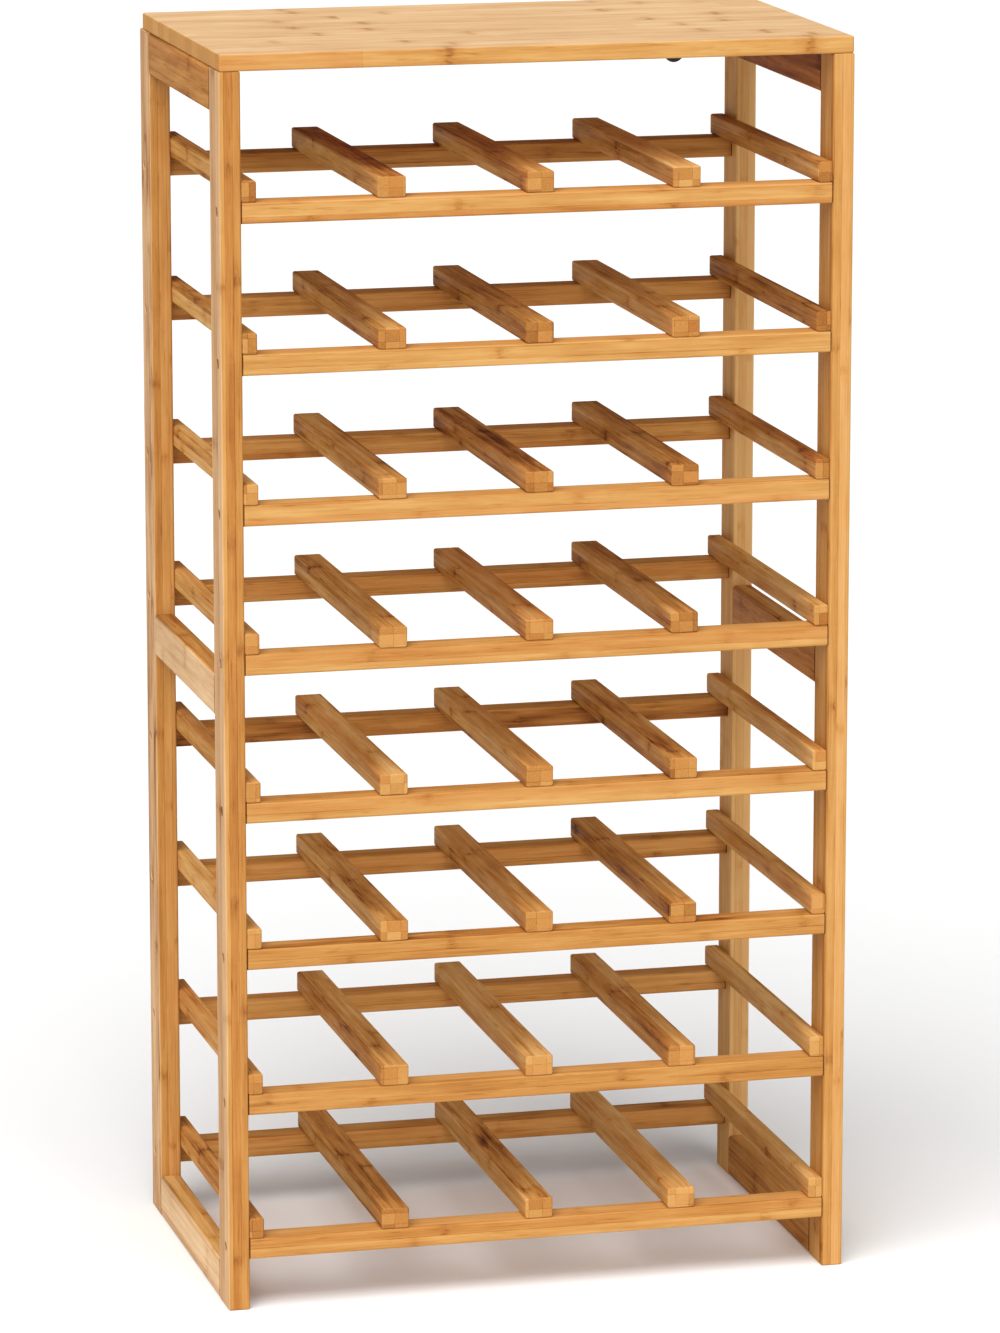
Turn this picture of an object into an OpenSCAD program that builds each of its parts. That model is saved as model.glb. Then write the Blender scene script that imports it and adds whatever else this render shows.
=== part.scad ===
// Free-standing bamboo wine rack: two side frames, crossbars and slats in tiers, and a top board.
// X runs across the rack, the front faces -Y, and Z is up. The origin is on the floor under its centre.

/* [Bays] */
// Bays side by side in each tier
bays = 4; // [2:1:5]
// Tiers of bays, counted up from the floor
tiers = 8; // [3:1:9]
// Clear width of a bay, between two slats
bay_w = 89; // [80:1:110]
// Height from one tier to the next
tier_pitch = 110; // [95:1:135]
// Height of the lowest crossbars' underside above the floor
first_tier_h = 38.5; // [36:0.5:60]
// Clear height above the slats of the highest tier
top_gap = 78.5; // [60:0.5:110]

/* [Side frames] */
// Front-to-back depth over the posts
rack_depth = 286; // [220:1:340]
// Thickness of the posts and side rails, across the rack
post_w = 16; // [14:0.5:24]
// Depth of a post, front to back
post_d = 34; // [30:0.5:50]
// Height of a side rail
rail_h = 32; // [28:0.5:50]

/* [Crossbars and slats] */
// Height of a crossbar
crossbar_h = 15.5; // [12:0.5:22]
// Depth of a crossbar, front to back
crossbar_d = 22.5; // [18:0.5:28]
// Height of a slat
slat_h = 15.5; // [12:0.5:22]
// Width of a slat between two bays
divider_w = 21; // [16:0.5:30]
// Width of a slat against the posts
side_slat_w = 11; // [9:0.5:20]

/* [Top board] */
// Thickness of the top board
board_t = 12.5; // [11:0.5:20]
// How far the board stops short of the posts' rear faces
board_setback = 8; // [4:0.5:20]
// How far the board's ends stop short of the posts' outer faces
board_end_inset = 0.5; // [0:0.1:3]
// Corner radius of the board, seen from above
board_corner_r = 4; // [2:0.5:10]
// Rounding along the board's top and bottom edges
board_edge_r = 1.5; // [0.5:0.1:3]

/* [Edges of the bars] */
// Rounding along the edges of the posts, rails and crossbars
edge_ease = 1.6; // [0.4:0.1:2.5]
// Rounding along the edges of the slats
slat_edge_r = 2; // [0.4:0.1:3]
// Rounding around the ends of the posts and slats
end_ease = 1.2; // [0.4:0.1:2]

/* [Frame bolts] */
// Diameter of the bolt that holds a crossbar's end
bolt_d = 4.6; // [4:0.1:6]
// Diameter of its head
bolt_head_d = 7.4; // [6.6:0.1:9]
// Height of its head
bolt_head_h = 3; // [2:0.1:4]
// Hexagon socket, across flats
bolt_socket = 3; // [2.5:0.5:4]
// Depth of that socket
bolt_socket_depth = 2; // [1:0.1:2.5]
// How deep the bolt's recess goes into the post
bolt_recess_depth = 4; // [3:0.1:6]
// Gap around the head in its recess, on the radius
bolt_head_gap = 0.3; // [0.1:0.05:0.6]
// Gap around the bolt where it passes through the post, on the radius
bolt_shank_gap = 0.2; // [0.1:0.05:0.5]
// Length of bolt screwed into the crossbar
bolt_grip = 30; // [20:1:45]

/* [Dowels] */
// Diameter of a wooden dowel
dowel_d = 6; // [5:0.5:8]
// Depth of a dowel's hole in a rail's end and in the post beside it
dowel_depth = 15; // [10:0.5:18]
// Distance between the two dowels in a rail's end
dowel_spacing = 16; // [12:0.5:20]
// Depth of a dowel's hole in the top board
board_dowel_depth = 8; // [5:0.5:9]
// Depth of that dowel's hole in the post or rail below
board_dowel_drop = 12; // [8:0.5:15]
// Distance of that hole from a post's outer end
board_dowel_inset = 9; // [7:0.5:12]
// Bevel at each end of a dowel
dowel_bevel = 0.8; // [0.3:0.1:1.2]
// Empty space left at the end of a blind hole
hole_spare = 0.5; // [0.2:0.1:1]

/* [Slat screws] */
// Diameter of a slat screw
screw_d = 3.2; // [2.8:0.1:4]
// Diameter of its countersunk head
screw_head_d = 6.4; // [5:0.1:7]
// Height of its head
screw_head_h = 2; // [1.4:0.1:2.5]
// Length of the screw that stands up into the slat
screw_bite = 10; // [7:0.5:11]
// Distance of the screw from the crossbar's inner face
screw_inset = 5; // [4:0.5:6]
// Length of a screw's point
screw_point = 3; // [1:0.5:4]

/* [Wall brackets] */
// Width of a wall bracket
bracket_w = 16; // [14:0.5:24]
// Thickness of its plate
bracket_t = 1.5; // [1.2:0.1:3]
// How far a bracket hangs below the board
bracket_drop = 38; // [30:0.5:50]
// Length of its leg under the board, from the wall
bracket_leg = 34; // [32:0.5:50]
// Distance from a post's inner face to the bracket's centre
bracket_inset = 40.5; // [20:0.5:60]
// Diameter of the hole for a wall screw
wall_hole_d = 4.5; // [3.5:0.1:5.5]
// Diameter of the screws that hold a bracket to the board
bracket_screw_d = 3; // [2.5:0.1:4]
// Length of those screws in the board
bracket_screw_bite = 8; // [5:0.5:9]
// Diameter of their round heads
bracket_screw_head_d = 6; // [5:0.1:7]
// Height of their heads
bracket_screw_head_h = 2; // [1.2:0.1:2.5]
// Distance between the two screws of a bracket
bracket_screw_spacing = 12; // [9:0.5:14]

/* [Hidden] */
$fn = 48;
// Facets that round one corner of an eased edge
EASE_STEPS = 3;
// How far a cut runs past the surface it opens
CUT = 1;
// A cross recess: its width, and its length and depth as shares of the screw's head
CROSS_W = 0.9;
CROSS_SPAN = 0.6;
CROSS_DEPTH = 0.6;
// Rounding of a bolt's head, as a share of its height
HEAD_ROUND = 0.2;
// Sides of a bolt's socket
HEX = 6;

LEFT = -1;
RIGHT = 1;
FRONT = -1;
REAR = 1;
LEVELS = ["bottom", "middle", "top"];

BAMBOO = [0.86, 0.64, 0.36];
BAMBOO_DARK = [0.76, 0.50, 0.25];
BAMBOO_PALE = [0.88, 0.70, 0.46];
DOWEL_WOOD = [0.84, 0.72, 0.52];
ZINC = [0.62, 0.60, 0.56];
DARK_BROWN = [0.13, 0.09, 0.07];

inner_w = bays * bay_w + (bays - 1) * divider_w + 2 * side_slat_w;
rack_w = inner_w + 2 * post_w;
post_h = first_tier_h + (tiers - 1) * tier_pitch + crossbar_h + slat_h + top_gap;
post_x = (rack_w - post_w) / 2;
post_y = (rack_depth - post_d) / 2;
post_inner_y = rack_depth / 2 - post_d;
rail_l = 2 * post_inner_y;
crossbar_y = (rack_depth - crossbar_d) / 2;
screw_y = rack_depth / 2 - crossbar_d + screw_inset;
board_w = rack_w - 2 * board_end_inset;
board_d = rack_depth - board_setback;
board_y = -board_setback / 2;
board_dowel_y = rack_depth / 2 - board_dowel_inset;
bolt_recess_d = bolt_head_d + 2 * bolt_head_gap;
bracket_x = inner_w / 2 - bracket_inset;
bracket_screw_y = rack_depth / 2 - board_setback - (bracket_leg - board_setback) / 2;
wall_hole_z = post_h - bracket_drop + bracket_w / 2;

function tier_z(t) = first_tier_h + (t - 1) * tier_pitch;
function divider_x(i) = i * (bay_w + divider_w) - divider_w / 2 + side_slat_w - inner_w / 2;
function side_slat_x(side) = side * (inner_w - side_slat_w) / 2;
function rail_z(level) = level * (post_h - rail_h) / 2 + rail_h / 2;

SIDES = [["left", LEFT], ["right", RIGHT]];
ENDS = [["front", FRONT], ["rear", REAR]];

// ---- Bar stock -------------------------------------------------------------------------------

// Outline of an a by b rectangle with its corners rounded to r
function eased_outline(a, b, r) = [
    for (q = [0:3], i = [0:EASE_STEPS])
        let (
            turn = 90 * (q + i / EASE_STEPS),
            right = q == 0 || q == 3 ? 1 : -1,
            up = q < 2 ? 1 : -1
        )
        [right * (a / 2 - r) + r * cos(turn), up * (b / 2 - r) + r * sin(turn)]
];

// A bar centred on the origin, with the edges along X rounded and its ends cut square
module bar_along_x(size, r) {
    rotate([90, 0, 90]) linear_extrude(size.x, center = true)
        polygon(eased_outline(size.y, size.z, r));
}

// The same along Y
module bar_along_y(size, r) {
    rotate([90, 0, 0]) linear_extrude(size.y, center = true)
        polygon(eased_outline(size.x, size.z, r));
}

// The same along Z
module bar_along_z(size, r) {
    linear_extrude(size.z, center = true) polygon(eased_outline(size.x, size.y, r));
}

// A bar rounded on all twelve edges: r.x along the four that run along X, and so on
module eased_bar(size, r) {
    intersection() {
        bar_along_x(size, r.x);
        bar_along_y(size, r.y);
        bar_along_z(size, r.z);
    }
}

// ---- Fasteners and the holes they need -------------------------------------------------------

// A wooden dowel standing on z = 0, its ends bevelled
module dowel(d, l) {
    cylinder(d1 = d - 2 * dowel_bevel, d2 = d, h = dowel_bevel);
    translate([0, 0, dowel_bevel]) cylinder(d = d, h = l - 2 * dowel_bevel);
    translate([0, 0, l - dowel_bevel]) cylinder(d1 = d, d2 = d - 2 * dowel_bevel, h = dowel_bevel);
}

// A cross recess cut into a head whose top is at z = 0, looking down
module cross_recess(head_d, head_h) {
    for (turn = [0, 90])
        rotate([0, 0, turn])
            translate([-head_d * CROSS_SPAN / 2, -CROSS_W / 2, -CUT])
                cube([head_d * CROSS_SPAN, CROSS_W, head_h * CROSS_DEPTH + CUT]);
}

// A countersunk wood screw pointing up, the top of its head at z = 0
module slat_screw() {
    difference() {
        rotate_extrude() polygon([
            [0, 0],
            [screw_head_d / 2, 0],
            [screw_d / 2, screw_head_h],
            [screw_d / 2, crossbar_h + screw_bite - screw_point],
            [0, crossbar_h + screw_bite]
        ]);
        cross_recess(screw_head_d, screw_head_h);
    }
}

// The space that screw takes, with a little room past its point
module slat_screw_hole() {
    cylinder(d1 = screw_head_d, d2 = screw_d, h = screw_head_h);
    cylinder(d = screw_d, h = crossbar_h + screw_bite + hole_spare);
}

// A bolt that points along +Z, its head seated at z = 0
module frame_bolt() {
    round_h = bolt_head_h * HEAD_ROUND;
    difference() {
        rotate_extrude() polygon([
            [0, -bolt_head_h],
            [bolt_head_d / 2 - round_h, -bolt_head_h],
            [bolt_head_d / 2, round_h - bolt_head_h],
            [bolt_head_d / 2, 0],
            [bolt_d / 2, 0],
            [bolt_d / 2, post_w - bolt_recess_depth + bolt_grip - bolt_d / 2],
            [0, post_w - bolt_recess_depth + bolt_grip]
        ]);
        translate([0, 0, -bolt_head_h - CUT])
            cylinder(d = bolt_socket / cos(180 / HEX), h = bolt_socket_depth + CUT, $fn = HEX);
    }
}

// The recess and the loose hole for it through a post whose outer face is at z = -recess depth
module frame_bolt_hole() {
    translate([0, 0, -bolt_recess_depth - CUT])
        cylinder(d = bolt_recess_d, h = bolt_recess_depth + CUT);
    cylinder(d = bolt_d + 2 * bolt_shank_gap, h = post_w - bolt_recess_depth + CUT);
}

// Places its children at every frame bolt of one side, with +Z pointing into the rack
module at_frame_bolts(side, ends) {
    for (t = [1:tiers], end = ends)
        translate([
            side * (rack_w / 2 - bolt_recess_depth),
            end * crossbar_y,
            tier_z(t) + crossbar_h / 2
        ])
            rotate([0, -90 * side, 0]) children();
}

// Places its children on the joint between a rail and a post, with +Z pointing into the post
module at_rail_joint(side, end, level) {
    for (step = [-1, 1])
        translate([side * post_x, end * post_inner_y, rail_z(level) + step * dowel_spacing / 2])
            rotate([-90 * end, 0, 0]) children();
}

// Places its children under the board at every board dowel, on the joint
module at_board_dowels(side) {
    for (y = [-board_dowel_y, -rail_l / 4, rail_l / 4, board_dowel_y])
        translate([side * post_x, y, post_h]) children();
}

// Places its children at the two screws of a wall bracket, on the board's underside
module at_bracket_screws(side) {
    for (step = [-1, 1])
        translate([side * bracket_x, bracket_screw_y + step * bracket_screw_spacing / 2, post_h])
            children();
}

// ---- Wooden pieces ---------------------------------------------------------------------------

module top_board() {
    color(BAMBOO_PALE) difference() {
        translate([0, board_y, post_h + board_t / 2])
            eased_bar([board_w, board_d, board_t], [board_edge_r, board_edge_r, board_corner_r]);
        for (side = [LEFT, RIGHT]) {
            at_board_dowels(side)
                translate([0, 0, -CUT]) cylinder(d = dowel_d, h = board_dowel_depth + CUT);
            at_bracket_screws(side)
                translate([0, 0, -CUT])
                    cylinder(d = bracket_screw_d, h = bracket_screw_bite + hole_spare + CUT);
        }
    }
}

module post(side, end) {
    color(BAMBOO) difference() {
        translate([side * post_x, end * post_y, post_h / 2])
            eased_bar([post_w, post_d, post_h], [end_ease, end_ease, edge_ease]);
        at_frame_bolts(side, [end]) frame_bolt_hole();
        for (level = [0:len(LEVELS) - 1])
            at_rail_joint(side, end, level)
                translate([0, 0, -CUT]) cylinder(d = dowel_d, h = dowel_depth + CUT);
        at_board_dowels(side)
            translate([0, 0, -board_dowel_drop]) cylinder(d = dowel_d, h = board_dowel_drop + CUT);
    }
}

module side_rail(side, level) {
    color(BAMBOO_DARK) difference() {
        translate([side * post_x, 0, rail_z(level)])
            bar_along_y([post_w, rail_l, rail_h], edge_ease);
        for (end = [FRONT, REAR])
            at_rail_joint(side, end, level)
                translate([0, 0, -dowel_depth]) cylinder(d = dowel_d, h = dowel_depth + CUT);
        at_board_dowels(side)
            translate([0, 0, -board_dowel_drop]) cylinder(d = dowel_d, h = board_dowel_drop + CUT);
    }
}

module crossbar(t, end) {
    color(BAMBOO) difference() {
        translate([0, end * crossbar_y, tier_z(t) + crossbar_h / 2])
            bar_along_x([inner_w, crossbar_d, crossbar_h], edge_ease);
        for (side = [LEFT, RIGHT])
            translate([side * (inner_w / 2 + CUT), end * crossbar_y, tier_z(t) + crossbar_h / 2])
                rotate([0, -90 * side, 0]) cylinder(d = bolt_d, h = bolt_grip + hole_spare + CUT);
        for (x = concat(divider_xs(), side_slat_xs()))
            translate([x, end * screw_y, tier_z(t)]) slat_screw_hole();
    }
}

function divider_xs() = [for (i = [1:bays - 1]) divider_x(i)];
function side_slat_xs() = [for (side = [LEFT, RIGHT]) side_slat_x(side)];

module slats(t, xs, w) {
    color(BAMBOO) for (x = xs)
        difference() {
            translate([x, 0, tier_z(t) + crossbar_h + slat_h / 2])
                eased_bar([w, rack_depth, slat_h], [end_ease, slat_edge_r, end_ease]);
            for (end = [FRONT, REAR])
                translate([x, end * screw_y, tier_z(t)]) slat_screw_hole();
        }
}

// ---- Fasteners in place ----------------------------------------------------------------------

module frame_bolts(side) {
    color(ZINC) at_frame_bolts(side, [FRONT, REAR]) frame_bolt();
}

module rail_dowels(side) {
    l = 2 * (dowel_depth - hole_spare);
    color(DOWEL_WOOD)
        for (end = [FRONT, REAR], level = [0:len(LEVELS) - 1])
            at_rail_joint(side, end, level) translate([0, 0, -l / 2]) dowel(dowel_d, l);
}

module board_dowels() {
    l = board_dowel_drop + board_dowel_depth - 2 * hole_spare;
    color(DOWEL_WOOD)
        for (side = [LEFT, RIGHT])
            at_board_dowels(side) translate([0, 0, hole_spare - board_dowel_drop]) dowel(dowel_d, l);
}

module slat_screws(xs) {
    color(ZINC)
        for (t = [1:tiers], end = [FRONT, REAR], x = xs)
            translate([x, end * screw_y, tier_z(t)]) slat_screw();
}

// An angle of flat plate: one leg under the board, one rounded leg down the wall
module wall_bracket(side) {
    color(DARK_BROWN) difference() {
        union() {
            translate([side * bracket_x - bracket_w / 2, rack_depth / 2 - bracket_leg, post_h - bracket_t])
                cube([bracket_w, bracket_leg, bracket_t]);
            translate([side * bracket_x - bracket_w / 2, rack_depth / 2 - bracket_t, wall_hole_z])
                cube([bracket_w, bracket_t, post_h - wall_hole_z]);
            translate([side * bracket_x, rack_depth / 2, wall_hole_z])
                rotate([90, 0, 0]) cylinder(d = bracket_w, h = bracket_t);
        }
        translate([side * bracket_x, rack_depth / 2 + CUT, wall_hole_z])
            rotate([90, 0, 0]) cylinder(d = wall_hole_d, h = bracket_t + 2 * CUT);
        at_bracket_screws(side)
            translate([0, 0, -bracket_t - CUT])
                cylinder(d = bracket_screw_d, h = bracket_t + 2 * CUT);
    }
}

// Round-headed screws that point up into the board, seated on the bracket
module bracket_screws() {
    seat = -bracket_t;
    color(ZINC)
        for (side = [LEFT, RIGHT])
            at_bracket_screws(side)
                difference() {
                    rotate_extrude() polygon([
                        [0, seat - bracket_screw_head_h],
                        [bracket_screw_head_d / 4, seat - bracket_screw_head_h],
                        [bracket_screw_head_d / 2, seat - bracket_screw_head_h / 2],
                        [bracket_screw_head_d / 2, seat],
                        [bracket_screw_d / 2, seat],
                        [bracket_screw_d / 2, bracket_screw_bite - screw_point],
                        [0, bracket_screw_bite]
                    ]);
                    translate([0, 0, seat - bracket_screw_head_h])
                        cross_recess(bracket_screw_head_d, bracket_screw_head_h);
                }
}

// ---- The rack --------------------------------------------------------------------------------

top_board();
for (s = SIDES, e = ENDS)
    post(s[1], e[1]);
for (s = SIDES, level = [0:len(LEVELS) - 1])
    side_rail(s[1], level);
for (t = [1:tiers], e = ENDS)
    crossbar(t, e[1]);
for (t = [1:tiers])
    slats(t, divider_xs(), divider_w);
for (t = [1:tiers])
    slats(t, side_slat_xs(), side_slat_w);
for (s = SIDES)
    frame_bolts(s[1]);
for (s = SIDES)
    rail_dowels(s[1]);
board_dowels();
slat_screws(divider_xs());  // divider_screws
slat_screws(side_slat_xs());  // side_slat_screws
for (s = SIDES)
    wall_bracket(s[1]);
bracket_screws();
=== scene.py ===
# %% [markdown]
# # A bamboo wine rack
# Two side frames of posts and rails are joined by sixteen crossbars. Slats lie on the crossbars from
# front to back, and bottles lie between them. A board closes the top.
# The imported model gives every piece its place, so nothing here is placed by eye.

# %% Load the frame
import math

import bmesh
import bpy
from mathutils import Matrix, Vector


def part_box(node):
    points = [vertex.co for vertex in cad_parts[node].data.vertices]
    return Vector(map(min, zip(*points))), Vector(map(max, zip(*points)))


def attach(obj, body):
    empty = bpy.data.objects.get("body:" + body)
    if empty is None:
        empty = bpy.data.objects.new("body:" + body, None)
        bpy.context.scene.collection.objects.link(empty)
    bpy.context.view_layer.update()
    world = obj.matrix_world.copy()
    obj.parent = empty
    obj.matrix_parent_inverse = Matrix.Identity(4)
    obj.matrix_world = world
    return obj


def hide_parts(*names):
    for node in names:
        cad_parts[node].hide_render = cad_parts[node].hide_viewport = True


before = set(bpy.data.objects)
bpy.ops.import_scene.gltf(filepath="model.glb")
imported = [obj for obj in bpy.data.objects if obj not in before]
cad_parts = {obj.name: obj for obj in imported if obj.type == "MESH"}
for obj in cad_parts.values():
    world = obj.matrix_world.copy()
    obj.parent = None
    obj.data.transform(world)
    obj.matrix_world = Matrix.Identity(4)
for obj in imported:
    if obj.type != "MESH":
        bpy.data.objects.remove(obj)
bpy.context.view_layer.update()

# %% [markdown]
# ## Names for the model's parts
# The rack is regular, so lists of names are built by loops. A node may hold several solids, such as
# the three slats of a tier. Joining the loose triangles and walking from corner to corner finds each
# one, which is safer than dividing a box into equal shares.

# %% Lists of nodes, and the box of every solid in a node
SIDES = ("left", "right")
ENDS = ("front", "rear")
LEVELS = ("bottom", "middle", "top")
TIERS = sorted({int(name.split("_")[1]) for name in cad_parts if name.startswith("tier_")})
MERGE = 1e-6


def solid_boxes(node):
    """(lowest corner, highest corner) of each separate solid in a node."""
    bm = bmesh.new()
    bm.from_mesh(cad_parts[node].data)
    bmesh.ops.remove_doubles(bm, verts=bm.verts, dist=MERGE)
    boxes, seen = [], set()
    for start in bm.verts:
        if start in seen:
            continue
        seen.add(start)
        island, todo = [], [start]
        while todo:
            vert = todo.pop()
            island.append(vert.co.copy())
            for edge in vert.link_edges:
                other = edge.other_vert(vert)
                if other not in seen:
                    seen.add(other)
                    todo.append(other)
        corners = [[co[axis] for co in island] for axis in range(3)]
        boxes.append((Vector(map(min, corners)), Vector(map(max, corners))))
    bm.free()
    return sorted(boxes, key=lambda box: tuple(box[0]))


print(len(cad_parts), "nodes in", len(TIERS), "tiers")

# %% [markdown]
# ## Camera
# The rack is seen from a little to its left and from just above its middle, through a long lens, so
# that its upright posts stay almost parallel. Heading, tilt and distance say that better than a point
# in space does.

# %% Camera
HEADING = math.radians(14.287)
TILT = math.radians(11.99)
DISTANCE = 5.0135
AIM = Vector((0.0063, 0, 0.4446))
LENS = 179.6

ahead = Vector((math.sin(HEADING), math.cos(HEADING), 0))
towards = ahead * math.cos(TILT) - Vector((0, 0, math.sin(TILT)))
camera = bpy.data.objects.new("camera", bpy.data.cameras.new("camera"))
camera.data.lens = LENS
camera.location = AIM - DISTANCE * towards
camera.rotation_euler = (math.pi / 2 - TILT, 0, -HEADING)
bpy.context.scene.collection.objects.link(camera)
bpy.context.scene.camera = camera
print("camera at", [round(v, 3) for v in camera.location])

# %% [markdown]
# ## Floor and light
# A pale floor runs far behind the rack, with no edge in view. The light is that of a big white studio:
# a wide soft key from above, in front and to the left, a weak fill from the front, and a pale sky. Sun
# lamps with a wide angle give this evenly over the whole floor, where a near lamp would leave a pool.

# %% Floor and light
FLOOR_SIZE = 60
FLOOR_GREY = 0.9
SKY = 0.24

bpy.context.scene.view_settings.view_transform = "Standard"
world = bpy.data.worlds.new("studio")
world.use_nodes = True
world.node_tree.nodes["Background"].inputs["Color"].default_value = (1, 1, 1, 1)
world.node_tree.nodes["Background"].inputs["Strength"].default_value = SKY
bpy.context.scene.world = world

bm = bmesh.new()
bmesh.ops.create_grid(bm, x_segments=1, y_segments=1, size=FLOOR_SIZE / 2)
floor = bpy.data.objects.new("floor", bpy.data.meshes.new("floor"))
bm.to_mesh(floor.data)
bm.free()
bpy.context.scene.collection.objects.link(floor)
paper = bpy.data.materials.new("floor_paper")
paper.use_nodes = True
paper.node_tree.nodes["Principled BSDF"].inputs["Base Color"].default_value = (FLOOR_GREY,) * 3 + (1,)
paper.node_tree.nodes["Principled BSDF"].inputs["Roughness"].default_value = 0.9
floor.data.materials.append(paper)


def soft_sun(name, left_of_front, height, spread, strength):
    """A wide sun, so many degrees left of the front and above the horizon."""
    azimuth, elevation = math.radians(left_of_front), math.radians(height)
    level = Vector((-math.sin(azimuth), -math.cos(azimuth), 0))
    back = level * math.cos(elevation) + Vector((0, 0, math.sin(elevation)))
    lamp = bpy.data.objects.new(name, bpy.data.lights.new(name, "SUN"))
    lamp.data.angle = math.radians(spread)
    lamp.data.energy = strength
    lamp.rotation_euler = back.to_track_quat("Z", "Y").to_euler()
    bpy.context.scene.collection.objects.link(lamp)


soft_sun("key_lamp", 28, 54, 60, 3.65)
soft_sun("front_lamp", 8, 16, 50, 0.6)
print("lamps", [lamp.name for lamp in bpy.data.lights])

# %% [markdown]
# ## Shader maths
# A procedural wood is mostly arithmetic. Joining Math nodes by hand is slow to write and hard to
# read, so one class wraps a node's output and turns `a * b + 1` into the nodes that work it out.

# %% A wrapper for sockets
class Wire:
    """The output of a shader node. Arithmetic on it adds Math nodes."""

    def __init__(self, finish, socket):
        self.finish, self.socket = finish, socket

    def __add__(self, other):
        return self.finish.math("ADD", self, other)

    def __sub__(self, other):
        return self.finish.math("SUBTRACT", self, other)

    def __rsub__(self, other):
        return self.finish.math("SUBTRACT", other, self)

    def __mul__(self, other):
        return self.finish.math("MULTIPLY", self, other)

    def __truediv__(self, other):
        return self.finish.math("DIVIDE", self, other)

    def __rtruediv__(self, other):
        return self.finish.math("DIVIDE", other, self)

    def __abs__(self):
        return self.finish.math("ABSOLUTE", self)

    __radd__ = __add__
    __rmul__ = __mul__


print("wires ready")

# %% [markdown]
# ## Finishes
# A finish is a material with the few node recipes that this rack's woods and metals share: a smooth
# step, noise stretched along an axis, and a mix of two colours. Every node is made by one method,
# which applies the node's settings before it fills its sockets, because some settings change which
# sockets there are. Numbers that are the same all over go straight onto the shader.

# %% A finish to build materials in
class Finish:
    """A material, and the way to add nodes to it."""

    def __init__(self, name, **constants):
        self.material = bpy.data.materials.new(name)
        self.material.use_nodes = True
        self.tree = self.material.node_tree
        self.set(**constants)

    def set(self, **sockets):
        """Sets or links the shader's own sockets. Coat_Weight stands for Coat Weight."""
        for name, value in sockets.items():
            self.plug(self.tree.nodes["Principled BSDF"].inputs[name.replace("_", " ")], value)

    def plug(self, socket, value):
        if isinstance(value, Wire):
            self.tree.links.new(value.socket, socket)
        else:
            socket.default_value = value

    def node(self, kind, settings=None, inputs=None, output=0):
        """Adds a node: its settings first, then the values or links of its sockets."""
        node = self.tree.nodes.new(kind)
        for name, value in (settings or {}).items():
            if name == "stops":
                for place, colour in value[1:-1]:
                    node.color_ramp.elements.new(place)
                for stop, (place, colour) in zip(node.color_ramp.elements, value):
                    stop.position, stop.color = place, colour
            else:
                setattr(node, name, value)
        for name, value in (inputs or {}).items():
            self.plug(node.inputs[name], value)
        return Wire(self, node.outputs[output])

    def math(self, operation, *values):
        return self.node("ShaderNodeMath", {"operation": operation}, dict(enumerate(values)))

    def vector(self, x, y, z):
        return self.node("ShaderNodeCombineXYZ", None, {0: x, 1: y, 2: z})

    def split(self, vector):
        return [self.node("ShaderNodeSeparateXYZ", None, {0: vector}, output=axis) for axis in range(3)]

    def stretch(self, place, scale):
        return self.node("ShaderNodeVectorMath", {"operation": "MULTIPLY"}, {0: place, 1: scale})

    def shift(self, place, by):
        return self.node("ShaderNodeVectorMath", {"operation": "ADD"}, {0: place, 1: by})

    def step(self, value, start, end, low=0.0, high=1.0):
        """A smooth change from low to high while value goes from start to end."""
        return self.node("ShaderNodeMapRange", {"interpolation_type": "SMOOTHSTEP"},
                         {0: value, 1: start, 2: end, 3: low, 4: high})

    def noise(self, place, scale, detail=2.0, roughness=0.5):
        """Soft noise from about -1 to 1. The scale is blobs per metre along each axis."""
        sockets = {"Vector": self.stretch(place, scale), "Scale": 1.0}
        sockets.update({"Detail": detail, "Roughness": roughness})
        return self.node("ShaderNodeTexNoise", None, sockets) * 2 - 1

    def chance(self, place, output="Value"):
        return self.node("ShaderNodeTexWhiteNoise", {"noise_dimensions": "3D"}, {"Vector": place}, output)

    def mix(self, share, first, second):
        """The colour that goes from first to second as share goes from 0 to 1."""
        return self.node("ShaderNodeMix", {"data_type": "RGBA"}, {0: share, 6: first, 7: second}, output=2)

    def bump(self, height, distance):
        """Links a relief to the normal. Height runs from 0 to 1, distance is in metres."""
        sockets = {"Height": height, "Strength": 1.0, "Distance": distance}
        self.set(Normal=self.node("ShaderNodeBump", None, sockets))


def srgb(red, green, blue):
    """A colour as painters' 0 to 255 numbers, turned into light."""
    parts = [part / 255 for part in (red, green, blue)]
    light = [part / 12.92 if part <= 0.04045 else ((part + 0.055) / 1.055) ** 2.4 for part in parts]
    return (*light, 1.0)


print("mid grey is", round(srgb(128, 128, 128)[0], 3), "in light")

# %% [markdown]
# ## Bamboo: where a point is on its bar
# Bamboo comes as thin strips split from the stalk's wall. They are planed and glued face to face, so
# a bar shows two or three laminations of different tone with a fine dark line between them.
#
# A pattern in the object's own coordinates would run the same way through every bar. So each bar
# carries two notes on its mesh. `grain` says how far a point is along, across and up the bar from its
# middle. `bar` holds a seed, the bar's tone, and half its length. On the right posts and bottom rails
# that tone also carries painted light, and on the top rails and rear crossbars painted shade. The seed
# moves the whole bar to its own place in the noise, so no two bars are alike.

# %% Places on a bar, and its laminations
GLUE_LINE = 0.00035
WOBBLE = 0.0004
WOBBLES_PER_METRE = (9, 60, 60)
WORN_PER_METRE = (14, 90, 90)


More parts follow.
